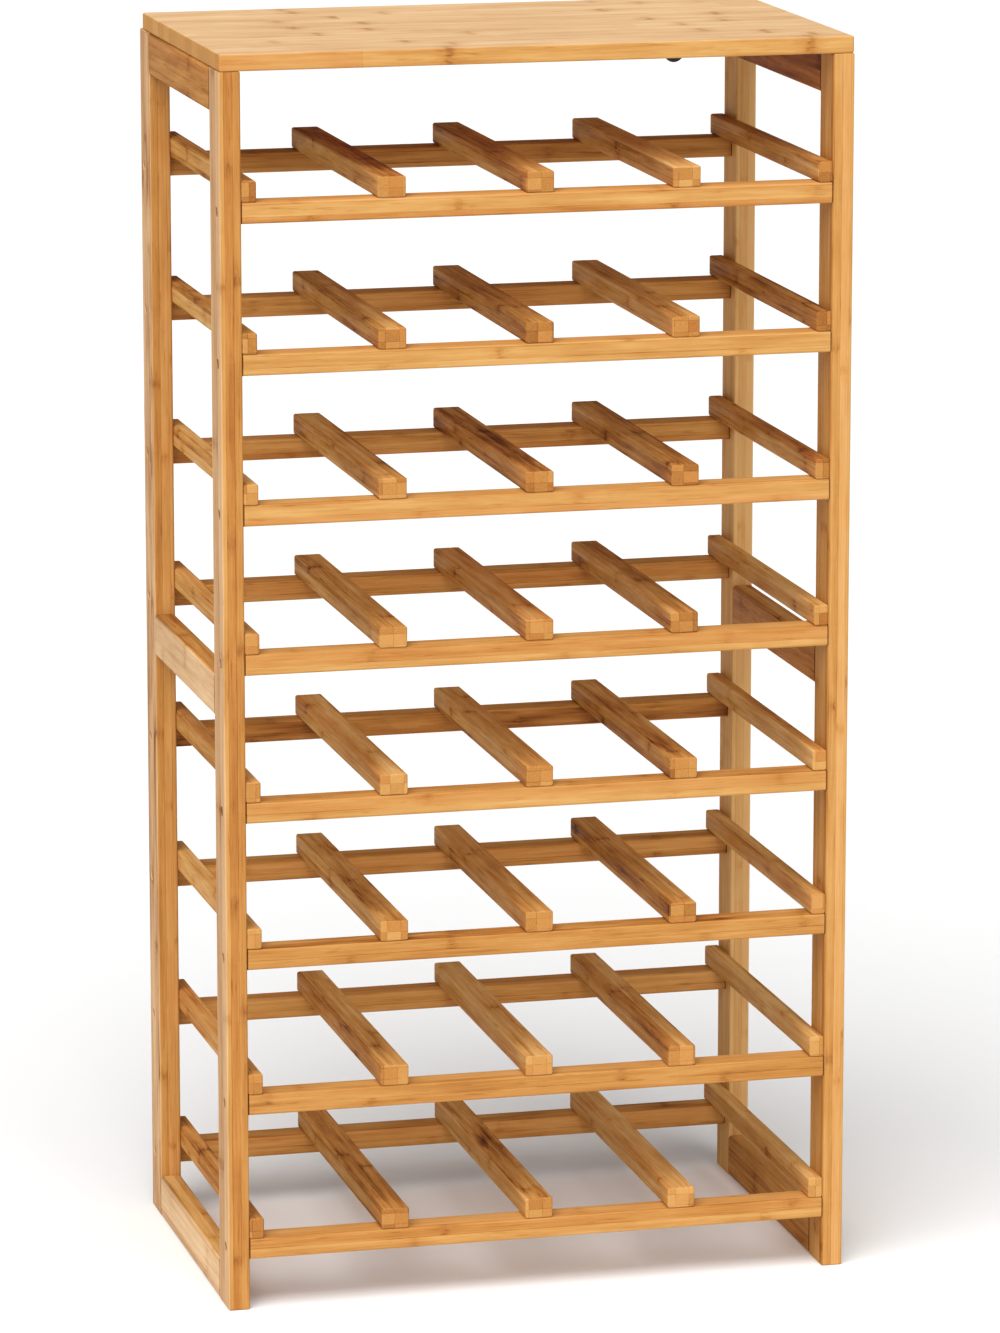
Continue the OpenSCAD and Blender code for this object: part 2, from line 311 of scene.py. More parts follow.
class Bamboo(Finish):
    """A finish that knows where on its bar a point is."""

    def __init__(self, name, **constants):
        super().__init__(name, **constants)
        self.grain = self.node("ShaderNodeAttribute", {"attribute_name": "grain"}, output="Vector")
        bar = self.node("ShaderNodeAttribute", {"attribute_name": "bar"}, output="Vector")
        self.along, self.across, self.up = self.split(self.grain)
        self.seed, self.bar_tone, half_length = self.split(bar)
        self.to_end = half_length - abs(self.along)
        self.place = self.shift(self.grain, self.vector(self.seed * 7.3, self.seed * 3.1, self.seed * 1.7))

    def lane(self, way, size, turn):
        """Which strip a point is in, counted one way, and how far it is from that strip's glue line."""
        wobble = self.noise(self.place, WOBBLES_PER_METRE) * WOBBLE
        count = (way + wobble) / size + self.math("FRACT", self.seed * turn)
        return self.math("FLOOR", count), (0.5 - abs(self.math("FRACT", count) - 0.5)) * size

    def laminations(self, strip_w, strip_t, joint_spacing):
        """Three chances for each strip, and the dark glue lines. Strips are butted every joint_spacing."""
        column, edge_x = self.lane(self.across, strip_w, 5.71)
        row, edge_z = self.lane(self.up, strip_t, 3.37)
        to_glue = self.math("MINIMUM", edge_x, edge_z)
        if joint_spacing:
            lane_chance = self.chance(self.vector(column, row, self.seed))
            length, edge_y = self.lane(self.along + lane_chance * 9, joint_spacing, 2.3)
            to_glue = self.math("MINIMUM", to_glue, edge_y)
            column = column + length * 17
        chances = self.split(self.chance(self.vector(column, row, self.seed), output="Color"))
        worn = self.step(self.noise(self.place, WORN_PER_METRE), -0.5, 0.4, 0.25, 1.0)
        return chances, self.step(to_glue, GLUE_LINE, 0.0) * worn


print("strips ready")

# %% [markdown]
# ## Bamboo: knuckles, fibres and sawn ends
# Along each strip runs a bundle of fibres: broad streaks a few millimetres wide, fine ones between
# them, and short dark flecks. Every foot or so a knuckle of the stalk crosses it as a short
# brown smudge, and the fibres bend round it. A sawn end shows the same fibres as dots.
#
# All of this is noise with one long and two short axes. Each recipe returns numbers that say how much
# darker the wood is there, so they can simply be added up. A noise is named with its number of blobs
# per metre along, across and up the bar.

# %% Knuckles, fibres and sawn ends
KNUCKLE_SPACING = 0.27
KNUCKLE_HALF_WIDTH = 0.0055
RIPPLES = (120, 420, 420)
RIPPLE_HEIGHT = 0.0028
PATCHES = (90, 420, 420)
STREAKS = (8, 260, 260)
BANDS = (14, 90, 90)
FINE_FIBRES = (30, 1300, 1300)
FLECKS = (45, 700, 700)
DOTS_PER_METRE = 1700
SAWN_DEPTH = 0.0006


def knuckles(wood, offset):
    """Smudges across each strip, and how far the fibres bend round them."""
    ripple = wood.noise(wood.place, RIPPLES) * RIPPLE_HEIGHT
    count = (wood.along + ripple) / KNUCKLE_SPACING + offset * 6
    to_knuckle = abs(wood.math("FRACT", count) - 0.5) * KNUCKLE_SPACING
    halo = wood.step(to_knuckle, KNUCKLE_HALF_WIDTH * 3, 0.0)
    patchy = wood.step(wood.noise(wood.place, PATCHES, 3.0, 0.6), -0.4, 0.5)
    dark = wood.step(to_knuckle, KNUCKLE_HALF_WIDTH, 0.0005)
    return dark * patchy * 0.7 + halo * 0.3, ripple * halo * 0.7


def fibres(wood, bend):
    """Broad streaks, fine fibres and short dark flecks."""
    place = wood.shift(wood.place, wood.vector(0, bend, bend))
    streaks = wood.noise(place, STREAKS, 4.0, 0.7) + wood.noise(place, BANDS, 3.0, 0.6) * 0.7
    fine = wood.noise(place, FINE_FIBRES, 2.0, 0.6)
    flecks = wood.step(wood.noise(place, FLECKS, 1.0), 0.26, 0.6)
    return streaks, fine, flecks


def sawn_ends(wood):
    """Where the saw went, and the dots of the fibres there."""
    sawn = wood.step(wood.to_end, SAWN_DEPTH, SAWN_DEPTH / 3)
    spots = wood.stretch(wood.place, (0, DOTS_PER_METRE, DOTS_PER_METRE))
    nearest = wood.node("ShaderNodeTexVoronoi", None, {"Vector": spots, "Scale": 1.0}, output="Distance")
    return sawn, wood.step(nearest, 0.5, 0.15)


print("knuckles every", round(KNUCKLE_SPACING * 1000), "mm")

# %% [markdown]
# ## Bamboo: colour and lacquer
# One number, the tone, gathers all of this and is coloured by a ramp from straw to dark brown. A
# finish may name faces that take a paler ramp instead: a painted sheen, standing in for the reflection
# of the white surroundings on the frames' outer faces and the board's top. The inner faces of the two
# side frames get painted shade, and where a bar butts against another a thin painted shadow darkens its
# end.
#
# The lacquer is a weak, satin coat. The fibres stand a tenth of a millimetre or less, and that relief
# goes into a bump, with a little of it in the roughness, so that the light breaks up along the grain.

# %% Bamboo
TONES = [
    (0.0, srgb(216, 176, 116)),
    (0.3, srgb(200, 150, 86)),
    (0.55, srgb(180, 124, 62)),
    (0.8, srgb(142, 86, 38)),
    (1.0, srgb(84, 46, 22)),
]
# A paler ramp for the painted sheen: the reflection of the white surroundings on outer and top faces.
PAINTED_SHEEN_TONES = [
    (0.0, srgb(236, 203, 162)),
    (0.3, srgb(218, 180, 136)),
    (0.55, srgb(200, 156, 112)),
    (0.8, srgb(160, 110, 64)),
    (1.0, srgb(96, 58, 32)),
]
RED_BROWN = srgb(188, 96, 44)
CLOUDS = (9, 24, 24)
# Width of the painted joint shadow at a bar's butted ends.
JOINT_SHADE_WIDTH = 0.0007
RELIEF = 0.0001
LACQUER = {"Roughness": 0.45, "Specular_IOR_Level": 0.0, "Coat_Weight": 0.1, "Coat_Roughness": 0.3}


def bamboo(name, strip_w, strip_t, joint_spacing=None, spread=0.34, figure=0.3, knuckle=0.34,
           joint_shade=0.0, inner_shade=0.0, pale=None):
    """Laminated bamboo in strips strip_w wide and strip_t thick, butted end to end every joint_spacing.
    spread sets how much strips differ, figure and knuckle how strong the streaks and the smudges are,
    joint_shade how dark the painted shadow at its butted ends is, and inner_shade how much painted shade
    its inner faces get. pale is a function that finds the faces that get a painted sheen, a paler ramp."""
    wood = Bamboo(name, Base_Color=TONES[1][1], **LACQUER)
    (strip_tone, offset, strip_red), glue = wood.laminations(strip_w, strip_t, joint_spacing)
    smudge, bend = knuckles(wood, offset)
    streaks, fine, flecks = fibres(wood, bend)
    sawn, dots = sawn_ends(wood)
    cloud = wood.noise(wood.place, CLOUDS, 2.0)

    fine_share = 0.04 + figure * 0.2
    fleck_share = 0.08 + figure * 0.3
    side_tone = streaks * figure + fine * fine_share + flecks * fleck_share + smudge * knuckle
    end_tone = dots * 0.2 + 0.04
    tone = wood.bar_tone + (strip_tone - 0.5) * spread + cloud * 0.08 + glue * 0.3
    tone = tone + side_tone * (1 - sawn) + end_tone * sawn
    # Painted shadow in the joint: a thin darker strip at each butted end.
    if joint_shade:
        tone = tone + wood.step(wood.to_end, JOINT_SHADE_WIDTH, JOINT_SHADE_WIDTH / 2) * joint_shade
    # Painted shade on the inner faces of the two side frames.
    if inner_shade:
        tone = tone + innermost(wood) * inner_shade
    colour = wood.node("ShaderNodeValToRGB", {"stops": TONES}, {0: tone})
    colour = wood.mix(wood.step(strip_red, 0.55, 1.0) * 0.2, colour, RED_BROWN)
    # Painted sheen on the faces pale finds. Dark-toned bars, the top rails in their painted shade, get
    # none.
    if pale:
        dark_toned_bar = wood.step(wood.bar_tone, 0.5, 0.6)
        painted_sheen_colour = wood.node("ShaderNodeValToRGB", {"stops": PAINTED_SHEEN_TONES}, {0: tone - 0.02})
        colour = wood.mix(pale(wood) * (1 - dark_toned_bar) * 0.9, colour, painted_sheen_colour)
    wood.set(Base_Color=colour, Roughness=0.42 + fine * 0.05 + flecks * 0.08 + sawn * 0.15 + smudge * 0.06)
    wood.bump(0.5 + fine * 0.2 - flecks * 0.25 - glue * 0.5 - smudge * 0.2 - sawn * dots * 0.3, RELIEF)
    return wood.material


def facing_up(wood):
    """The faces that look up, which on the board get the painted sheen."""
    up = wood.split(wood.node("ShaderNodeTexCoord", output="Normal"))[2]
    return wood.step(up, 0.6, 0.95)


def outermost(wood):
    """The outer faces of the two side frames, which get the painted sheen."""
    sideways = abs(wood.split(wood.node("ShaderNodeTexCoord", output="Object"))[0])
    return wood.step(sideways, FRAME_HALF - 0.001, FRAME_HALF - 0.0004)


def innermost(wood):
    """The inner faces of the two side frames, which get painted shade."""
    sideways = abs(wood.split(wood.node("ShaderNodeTexCoord", output="Object"))[0])
    return wood.step(sideways, FRAME_INNER + 0.0006, FRAME_INNER + 0.0001)


FRAME_INNER, FRAME_HALF = (corner.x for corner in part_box("right_front_post"))
# The board's top and the frames' outer faces get a painted sheen, the frames' inner faces painted shade,
# and rails and crossbars a painted shadow at their butted ends.
BAMBOO = {
    "board": bamboo("board_bamboo", 0.0205, 0.030, joint_spacing=0.6, spread=0.14, figure=0.36, knuckle=0.5,
                    pale=facing_up),
    "post": bamboo("post_bamboo", 0.0170, 0.0062, figure=0.3, inner_shade=0.12, pale=outermost),
    "rail": bamboo("rail_bamboo", 0.0210, 0.0075, figure=0.42, joint_shade=0.4, inner_shade=0.13, pale=outermost),
    "crossbar": bamboo("crossbar_bamboo", 0.0150, 0.0088, spread=0.27, figure=0.32, knuckle=0.28, joint_shade=0.4),
    "slat": bamboo("slat_bamboo", 0.0105, 0.0085, figure=0.55, knuckle=0.42),
}
print({name: len(wood.node_tree.nodes) for name, wood in BAMBOO.items()}, "nodes in each bamboo")

# %% [markdown]
# ## Metal, paint and dowel wood
# Bolts and screws are zinc plated. Zinc goes on bright and dulls in patches, so its colour and
# roughness both wander a little. The brackets have a dark brown powder coat, whose skin is dimpled
# like an orange's. Dowels are bare turned hardwood, with fine pores along their axis.

# %% Metal, paint and dowel wood
DULL_PATCHES = (420, 420, 420)
PLATING_SCRATCHES = (900, 900, 5200)
PAINT_DIMPLES = (2200, 2200, 2200)
PAINT_WEAR = (160, 160, 160)
PORES_ALONG, PORES_ACROSS = 40, 1400


def zinc(name, bright, dulled):
    """Zinc plate that has dulled in patches of a few millimetres."""
    metal = Finish(name, Base_Color=bright, Metallic=1.0, Roughness=0.4)
    place = metal.node("ShaderNodeTexCoord", output="Object")
    patches = metal.step(metal.noise(place, DULL_PATCHES, 3.0), -0.5, 0.5)
    scratches = metal.noise(place, PLATING_SCRATCHES, 2.0)
    colour = metal.mix(patches, bright, dulled)
    metal.set(Base_Color=colour, Roughness=0.3 + patches * 0.2 + scratches * 0.05)
    metal.bump(0.5 + scratches * 0.3 + patches * 0.2, 0.00002)
    return metal.material


def powder_coat(name, colour, worn):
    """Powder paint with dimples half a millimetre apart, rubbed a little lighter in places."""
    paint = Finish(name, Base_Color=colour, Roughness=0.45, Specular_IOR_Level=0.45)
    place = paint.node("ShaderNodeTexCoord", output="Object")
    dimples = paint.noise(place, PAINT_DIMPLES, 1.0)
    rubbed = paint.step(paint.noise(place, PAINT_WEAR, 3.0), 0.1, 0.8)
    mottled = paint.mix(rubbed * 0.4, colour, worn)
    paint.set(Base_Color=mottled, Roughness=0.42 + dimples * 0.08 + rubbed * 0.1)
    paint.bump(0.5 + dimples * 0.5, 0.00006)
    return paint.material


def dowel_wood(name, pores_along):
    """Bare hardwood, with pores that run along one axis, 0 for X to 2 for Z."""
    wood = Finish(name, Base_Color=srgb(222, 190, 142), Roughness=0.7, Specular_IOR_Level=0.3)
    scale = tuple(PORES_ALONG if axis == pores_along else PORES_ACROSS for axis in range(3))
    place = wood.node("ShaderNodeTexCoord", output="Object")
    pores = wood.step(wood.noise(place, scale, 2.0), 0.15, 0.6)
    colour = wood.mix(pores, srgb(226, 196, 150), srgb(178, 134, 86))
    wood.set(Base_Color=colour, Roughness=0.62 + pores * 0.15)
    wood.bump(1 - pores * 0.6, 0.00008)
    return wood.material


BOLT_ZINC = zinc("dull_zinc", srgb(150, 142, 128), srgb(104, 94, 80))
SCREW_ZINC = zinc("bright_zinc", srgb(205, 201, 190), srgb(168, 160, 144))
BROWN_PAINT = powder_coat("brown_powder_coat", srgb(52, 36, 28), srgb(92, 70, 56))
print("other finishes", BOLT_ZINC.name, SCREW_ZINC.name, BROWN_PAINT.name)

# %% [markdown]
# ## Bars
# Every wooden piece starts as a block the size of its solid in the model. Its long edges get a round
# from a router, and its ends a smaller one. The bevel operator does both. Shading the whole bar smooth
# and weighting its normals by area keeps the wide faces flat and the rounds soft.

# %% Bars: blocks, rounded edges and finished pieces
AXES = (Vector((1, 0, 0)), Vector((0, 1, 0)), Vector((0, 0, 1)))
ROUND_STEPS = 3
SAME_WAY = 0.99


def block(low, high):
    """A new mesh that fills the box from low to high."""
    bm = bmesh.new()
    bmesh.ops.create_cube(bm, size=1)
    bmesh.ops.scale(bm, vec=high - low, verts=bm.verts)
    bmesh.ops.translate(bm, vec=(low + high) / 2, verts=bm.verts)
    return bm


def soften(bm, edges, radius, steps=ROUND_STEPS):
    bmesh.ops.bevel(bm, geom=list(edges), offset=radius, offset_type="OFFSET", segments=steps,
                    profile=0.5, affect="EDGES", clamp_overlap=True, material=-1)


def edges_along(bm, axis):
    """The edges that run along one axis, 0 for X to 2 for Z."""
    return [e for e in bm.edges if abs((e.verts[0].co - e.verts[1].co).normalized()[axis]) > SAME_WAY]


def rims_across(bm, axis):
    """The edges around the two faces that look along one axis."""
    return {e for f in bm.faces if abs(f.normal[axis]) > SAME_WAY for e in f.edges}


def rounded_bar(low, high, axis, long_r, end_r=0.0):
    """A block whose grain runs along one axis, with its long edges and then its ends rounded."""
    bm = block(low, high)
    soften(bm, edges_along(bm, axis), long_r)
    if end_r:
        soften(bm, rims_across(bm, axis), end_r, ROUND_STEPS - 1)
    return bm


def note_grain(bm, low, high, axis, seed, tone):
    """Writes grain and bar on a bar's corners: its own coordinates, seed, tone and half length."""
    wide, thick = sorted((i for i in range(3) if i != axis), key=lambda i: low[i] - high[i])
    middle = (low + high) / 2
    grain = bm.verts.layers.float_vector.new("grain")
    bar = bm.verts.layers.float_vector.new("bar")
    for vert in bm.verts:
        spot = vert.co - middle
        vert[grain] = (spot[axis], spot[wide], spot[thick])
        vert[bar] = (seed, tone, (high[axis] - low[axis]) / 2)


def smooth(piece):
    """Shades a piece smooth, with its wide faces kept flat."""
    piece.data.shade_smooth()
    weighted = piece.modifiers.new("flat_faces", "WEIGHTED_NORMAL")
    weighted.keep_sharp = True
    return piece


def new_piece(name, parts, material, slot, *nodes):
    """Joins bmesh parts into one object that rides on the rack and stands for these nodes."""
    mesh = bpy.data.meshes.new(name)
    whole = bmesh.new()
    for part in parts:
        part.to_mesh(mesh)
        part.free()
        whole.from_mesh(mesh)
    whole.to_mesh(mesh)
    whole.free()
    piece = bpy.data.objects.new(name, mesh)
    bpy.context.scene.collection.objects.link(piece)
    mesh.materials.append(material)
    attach(piece, "root")
    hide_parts(*nodes)
    return smooth(piece)


print("bars have", len(rounded_bar(Vector((0, 0, 0)), Vector((0.1, 0.02, 0.02)), 0, 0.002).faces), "faces")

# %% [markdown]
# ## Holes
# A bolt's head sits in a round recess, and a screw's head in a cone. A hole is cut into a flat face in
# four moves: the face is cut to a small square round the spot, the square is inset, its sides are
# split and pushed onto a circle, and the disc is sunk. This leaves a closed mesh, with no cutting tool.

# %% Holes
HOLE_CUTS = 3
HOLE_STEP = math.pi / 2 / (HOLE_CUTS + 1)


def face_at(bm, spot, out):
    """The face nearest a spot, of those that look along out."""
    faces = [face for face in bm.faces if face.normal.dot(out) > SAME_WAY]
    return min(faces, key=lambda face: (face.calc_center_median() - spot).length)


def sunk(bm, face, out, depth, scale=1.0):
    """Pushes a face into the bar and scales it about its own middle."""
    face = bmesh.ops.extrude_discrete_faces(bm, faces=[face])["faces"][0]
    middle = face.calc_center_median()
    for vert in face.verts:
        vert.co = middle + (vert.co - middle) * scale - out * depth
    return face


def cut_hole(bm, spot, out, radius, patch, steps):
    """Sinks a round hole at a spot on a flat face that looks along out, in (depth, scale) steps.
    Gives back the disc at its bottom."""
    first, second = (a for a in AXES if abs(a.dot(out)) < 0.5)
    for axis in (first, second):
        for side in (-1, 1):
            bmesh.ops.bisect_plane(bm, geom=bm.verts[:] + bm.edges[:] + bm.faces[:], dist=MERGE,
                                   plane_co=spot + side * patch * axis, plane_no=axis)
    bmesh.ops.inset_individual(bm, faces=[face_at(bm, spot, out)], thickness=(patch - radius) / 2)
    bmesh.ops.subdivide_edges(bm, edges=face_at(bm, spot, out).edges[:], cuts=HOLE_CUTS)
    face = face_at(bm, spot, out)
    for vert in face.verts:
        away = vert.co - spot
        turn = round(math.atan2(away.dot(second), away.dot(first)) / HOLE_STEP) * HOLE_STEP
        vert.co = spot + radius * (math.cos(turn) * first + math.sin(turn) * second)
    for depth, scale in steps:
        face = sunk(bm, face, out, depth, scale)
    return face


print("holes have", 4 * (HOLE_CUTS + 1), "sides")

# %% [markdown]
# ## Top board
# The board is glued from strips laid side by side, which run the length of the rack and are butted end
# to end. Its corners are rounded seen from above, and its top and bottom edges are eased.

# %% Top board
BOARD_CORNER = 0.002
BOARD_CORNER_STEPS = 4
BOARD_EDGE = 0.0015

low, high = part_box("top_board")
bm = block(low, high)
soften(bm, edges_along(bm, 2), BOARD_CORNER, BOARD_CORNER_STEPS)
soften(bm, rims_across(bm, 2), BOARD_EDGE)
note_grain(bm, low, high, 0, seed=0.37, tone=0.31)
new_piece("top_board_looks", [bm], BAMBOO["board"], "board_bamboo", "top_board")
print("board", round((high.x - low.x) * 1000), "by", round((high.y - low.y) * 1000), "mm")

# %% [markdown]
# ## Posts
# Four posts stand on the floor. Each has a row of recesses in its outer face, one for each bolt that
# holds a crossbar. The bolts' own boxes in the model say where, so the recesses always meet them.

# %% Posts
LONG_ROUND = 0.0016
END_ROUND = 0.0012
RECESS_RADIUS = 0.004
RECESS_DEPTH = 0.004
RECESS_PATCH = 0.0062
RECESS_MOUTH = 0.0004
RECESS_STEPS = [
    (RECESS_MOUTH, RECESS_RADIUS / (RECESS_RADIUS + RECESS_MOUTH)),
    (RECESS_DEPTH - RECESS_MOUTH, 1),
]
# The right posts are toned lighter, the rear one most: painted light that offsets the shade they stand in.
POST_TONES_WITH_PAINTED_LIGHT = {"left_front": 0.42, "left_rear": 0.44, "right_front": 0.33, "right_rear": 0.08}

for side, out in zip(SIDES, (-AXES[0], AXES[0])):
    bolts = [(a + b) / 2 for a, b in solid_boxes(f"{side}_frame_bolts")]
    for end, facing in zip(ENDS, (-1, 1)):
        node = f"{side}_{end}_post"
        low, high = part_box(node)
        bm = rounded_bar(low, high, 2, LONG_ROUND, END_ROUND)
        outer_x = low.x if side == "left" else high.x
        for bolt in (b for b in bolts if b.y * facing > 0):
            mouth = Vector((outer_x, bolt.y, bolt.z))
            cut_hole(bm, mouth, out, RECESS_RADIUS + RECESS_MOUTH, RECESS_PATCH, RECESS_STEPS)
        seed = 0.21 + 0.43 * SIDES.index(side) + 0.17 * ENDS.index(end)
        note_grain(bm, low, high, 2, seed, POST_TONES_WITH_PAINTED_LIGHT[f"{side}_{end}"])
        new_piece(f"{node}_looks", [bm], BAMBOO["post"], "post_bamboo", node)
print("post recesses", len(bolts) * 2)

# %% [markdown]
# ## Side rails
# Three rails join the two posts of a side. They butt against the posts, on dowels, so their ends stay
# square. Their long edges get a larger round than the posts'. The top ones are toned darker, painted
# shade under the board, and the bottom ones lighter, painted light that offsets their shade.

# %% Side rails
RAIL_ROUND = 0.0026
# Top rails toned darker for painted shade under the board; bottom rails lighter, painted light.
RAIL_TONES_WITH_PAINTED_LIGHT_AND_SHADE = {"bottom": 0.33, "middle": 0.42, "top": 0.6}

for side in SIDES:
    for level in LEVELS:
        node = f"{side}_{level}_rail"
        low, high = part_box(node)
        bm = rounded_bar(low, high, 1, RAIL_ROUND)
        note_grain(bm, low, high, 1, seed=1.13 + 0.57 * SIDES.index(side) + 0.29 * LEVELS.index(level),
                   tone=RAIL_TONES_WITH_PAINTED_LIGHT_AND_SHADE[level])
        new_piece(f"{node}_looks", [bm], BAMBOO["rail"], "rail_bamboo", node)
print("rails", len(SIDES) * len(LEVELS))

# %% [markdown]
# ## Crossbars
# A crossbar runs between the posts, one at the front and one at the rear of each tier. Screws go up
# through it into the slats, and their heads lie in cones in its underside.

# %% Crossbars
SCREW_HEAD_RADIUS = 0.0032
SCREW_HEAD_DEPTH = 0.002
SCREW_PATCH = 0.0044
SCREW_GAP = 0.0002
SCREW_CONE = [(SCREW_HEAD_DEPTH, 0.5)]
SCREW_REACH = 0.03
# Rear crossbars are toned a little darker: painted shade from the tiers and board above.
CROSSBAR_TONES_WITH_PAINTED_SHADE = {"front": 0.42, "rear": 0.46}

screws = [(a + b) / 2 for node in ("divider_screws", "side_slat_screws") for a, b in solid_boxes(node)]
for tier in TIERS:
    for end in ENDS:
        node = f"tier_{tier}_{end}_crossbar"
        low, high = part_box(node)
        bm = rounded_bar(low, high, 0, LONG_ROUND)
        for screw in (s for s in screws if low.y < s.y < high.y and low.z < s.z < low.z + SCREW_REACH):
            spot = Vector((screw.x, screw.y, low.z))
            cut_hole(bm, spot, -AXES[2], SCREW_HEAD_RADIUS + SCREW_GAP, SCREW_PATCH, SCREW_CONE)
        seed = 2.07 + 0.31 * tier + 3.3 * ENDS.index(end)
        note_grain(bm, low, high, 0, seed, CROSSBAR_TONES_WITH_PAINTED_SHADE[end] + 0.04 * math.sin(41 * seed))
        new_piece(f"{node}_looks", [bm], BAMBOO["crossbar"], "crossbar_bamboo", node)
print("crossbars", len(TIERS) * len(ENDS))

# %% [markdown]
# ## Slats
# Slats lie on the crossbars from front to back, flush with the posts. Bottles roll against their top
# edges, so those are eased. Each slat takes its own tone from its place.

# %% Slats
SLAT_ROUND = 0.0016

for tier in TIERS:
    for kind in ("divider", "side"):
        node = f"tier_{tier}_{kind}_slats"
        parts = []
        for number, (low, high) in enumerate(solid_boxes(node)):
            bm = rounded_bar(low, high, 1, SLAT_ROUND, END_ROUND)
            seed = 4.19 + 0.83 * tier + 0.47 * number + 0.11 * len(kind)
            note_grain(bm, low, high, 1, seed, tone=0.44 + 0.1 * math.sin(37 * seed))
            parts.append(bm)
        new_piece(f"{node}_looks", parts, BAMBOO["slat"], "slat_bamboo", node)
print("slats", len(TIERS) * 5)

# %% [markdown]
# ## Turned fasteners
# Bolts and screws are turned bodies with a driver's recess in the head. Each head starts as the flat
# pattern of its recess: a six-sided disc for the bolts, and a small grid whose middle cross is pushed
# in for the screws. The open rim of that pattern is then drawn out ring by ring, into the head, the
# shank and the point, so the recess and the round body are one closed skin.
#
# They are made with the head's face at the origin, looking up, and then turned to look out of their
# hole.

# %% Turned fasteners
SOCKET_CUTS = 3
CROSS_CELLS = 5
CROSS_REACH = 1.2
CROSS_TAPER = 0.7


def turned(bm, rings):
    """Draws the open rim of a head out into rings of (radius, depth), and closes the last one."""
    rim = [edge for edge in bm.edges if edge.is_boundary]
    for radius, depth in rings:
        grown = bmesh.ops.extrude_edge_only(bm, edges=rim)["geom"]
        rim = [part for part in grown if isinstance(part, bmesh.types.BMEdge) and part.is_boundary]
        for vert in {vert for edge in rim for vert in edge.verts}:
            around = vert.co.xy.normalized() * radius
            vert.co = (around.x, around.y, -depth)
    bmesh.ops.edgeloop_fill(bm, edges=rim)
    bmesh.ops.recalc_face_normals(bm, faces=bm.faces[:])
    return bm


def hex_socket(across_flats, depth):
    """A six-sided hole, whose rim is left open for the head to grow from."""
    bm = bmesh.new()
    bmesh.ops.create_circle(bm, cap_ends=True, segments=6, radius=across_flats / math.sqrt(3))
    bmesh.ops.subdivide_edges(bm, edges=bm.edges[:], cuts=SOCKET_CUTS)
    sunk(bm, bm.faces[:][0], AXES[2], depth)
    return bm


def cross_recess(head_radius, depth):
    """A round head's face with a tapered cross pressed into its middle."""
    bm = bmesh.new()
    bmesh.ops.create_grid(bm, x_segments=CROSS_CELLS, y_segments=CROSS_CELLS, size=head_radius)
    for vert in {vert for edge in bm.edges if edge.is_boundary for vert in edge.verts}:
        vert.co = vert.co.normalized() * head_radius
    cell = 2 * head_radius / CROSS_CELLS
    cross = [face for face in bm.faces if face.calc_center_median().length < CROSS_REACH * cell]
    pressed = bmesh.ops.extrude_face_region(bm, geom=cross)["geom"]
    for vert in (part for part in pressed if isinstance(part, bmesh.types.BMVert)):
        vert.co = vert.co * CROSS_TAPER - AXES[2] * depth
    bmesh.ops.delete(bm, geom=cross, context="FACES_ONLY")
    return bm


def look_out(bm, out, spot):
    """Turns a fastener so that its head looks along out, and moves its face to a spot."""
    turn = AXES[2].rotation_difference(out).to_matrix().to_4x4()
    bmesh.ops.transform(bm, matrix=Matrix.Translation(spot) @ turn, verts=bm.verts)
    return bm


print("fastener helpers ready")

# %% [markdown]
# ## Frame bolts
# A bolt runs from each recess through the post and into the crossbar's end. The model gives each
# bolt's box, so its length and the place of its head come from there.

# %% Frame bolts
BOLT_SHANK = 0.0023
BOLT_HEAD_HEIGHT = 0.003
BOLT_HEAD_ROUND = 0.0008
BOLT_SOCKET = 0.003
BOLT_SOCKET_DEPTH = 0.002

for side, out in zip(SIDES, (-AXES[0], AXES[0])):
    node = f"{side}_frame_bolts"
    parts = []
    for low, high in solid_boxes(node):
        head, length = (high.z - low.z) / 2, high.x - low.x
        face = Vector((low.x if side == "left" else high.x, (low.y + high.y) / 2, (low.z + high.z) / 2))
        bm = hex_socket(BOLT_SOCKET, BOLT_SOCKET_DEPTH)
        turned(bm, [
            (head - BOLT_HEAD_ROUND, 0),
            (head - BOLT_HEAD_ROUND * 0.3, BOLT_HEAD_ROUND * 0.3),
            (head, BOLT_HEAD_ROUND),
            (head, BOLT_HEAD_HEIGHT),
            (BOLT_SHANK, BOLT_HEAD_HEIGHT),
            (BOLT_SHANK, length - BOLT_SHANK),
            (BOLT_SHANK / 4, length),
        ])
        parts.append(look_out(bm, out, face))
    new_piece(f"{node}_looks", parts, BOLT_ZINC, "bolt_steel", node)
print("bolt", round(length * 1000, 1), "mm long")

# %% [markdown]
# ## Slat screws
# Countersunk screws go up through the crossbars into the slats. There are eighty, so each has only a
# few dozen faces: the cross in its head, a cone, a shank and a point.

# %% Slat screws
SCREW_SHANK = 0.0016
SCREW_POINT = 0.003
CROSS_DEPTH = 0.0013

for kind in ("divider", "side_slat"):
    parts = []
    for low, high in solid_boxes(f"{kind}_screws"):
        length = high.z - low.z
        bm = cross_recess(SCREW_HEAD_RADIUS, CROSS_DEPTH)
        turned(bm, [
            (SCREW_SHANK, SCREW_HEAD_DEPTH),
            (SCREW_SHANK, length - SCREW_POINT),
            (SCREW_SHANK / 8, length),
        ])
        parts.append(look_out(bm, -AXES[2], Vector(((low.x + high.x) / 2, (low.y + high.y) / 2, low.z))))
    faces = len(parts[0].faces)
    new_piece(f"{kind}_screws_looks", parts, SCREW_ZINC, "screw_steel", f"{kind}_screws")
print("faces in a screw", faces)

# %% [markdown]
# ## Wall brackets
# Two small brackets hold the rack to a wall, so that it can't tip. Each is a strip of steel with a
# round end, bent at a right angle and powder coated. It is made the same way: half a disc is drawn out
# into a strip, the strip is bent round an arc by a spin and drawn out again, the holes are cut, and
# the sheet then gets its thickness and its eased edges.

